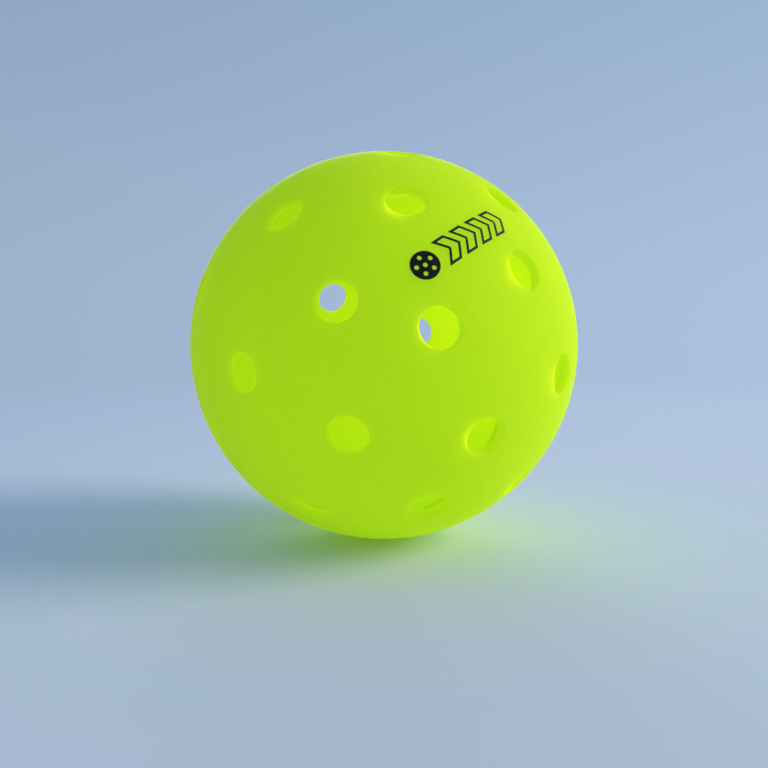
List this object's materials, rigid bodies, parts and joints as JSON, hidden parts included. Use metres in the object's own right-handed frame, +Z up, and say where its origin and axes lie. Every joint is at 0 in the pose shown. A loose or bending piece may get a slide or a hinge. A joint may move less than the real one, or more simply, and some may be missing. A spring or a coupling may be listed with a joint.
{
  "type": "pickleball ball",
  "caption": "Hollow perforated plastic ball of two welded half shells, with round holes in rings and a small printed figure.",
  "frame": {"origin": "centre of the ball", "axes": "+Z up, -Y towards the printed half's pole, with the weld seam in the XZ plane"},
  "size_m": [0.074, 0.074, 0.074],
  "materials": {
    "front_shell_plastic": "satin translucent neon green",
    "rear_shell_plastic": "satin translucent neon green",
    "mark_ink": "satin black ink"
  },
  "bodies": {
    "root": {"front_half_shell": "front_shell_plastic", "rear_half_shell": "rear_shell_plastic", "printed_mark": "mark_ink"}
  },
  "joints": []
}
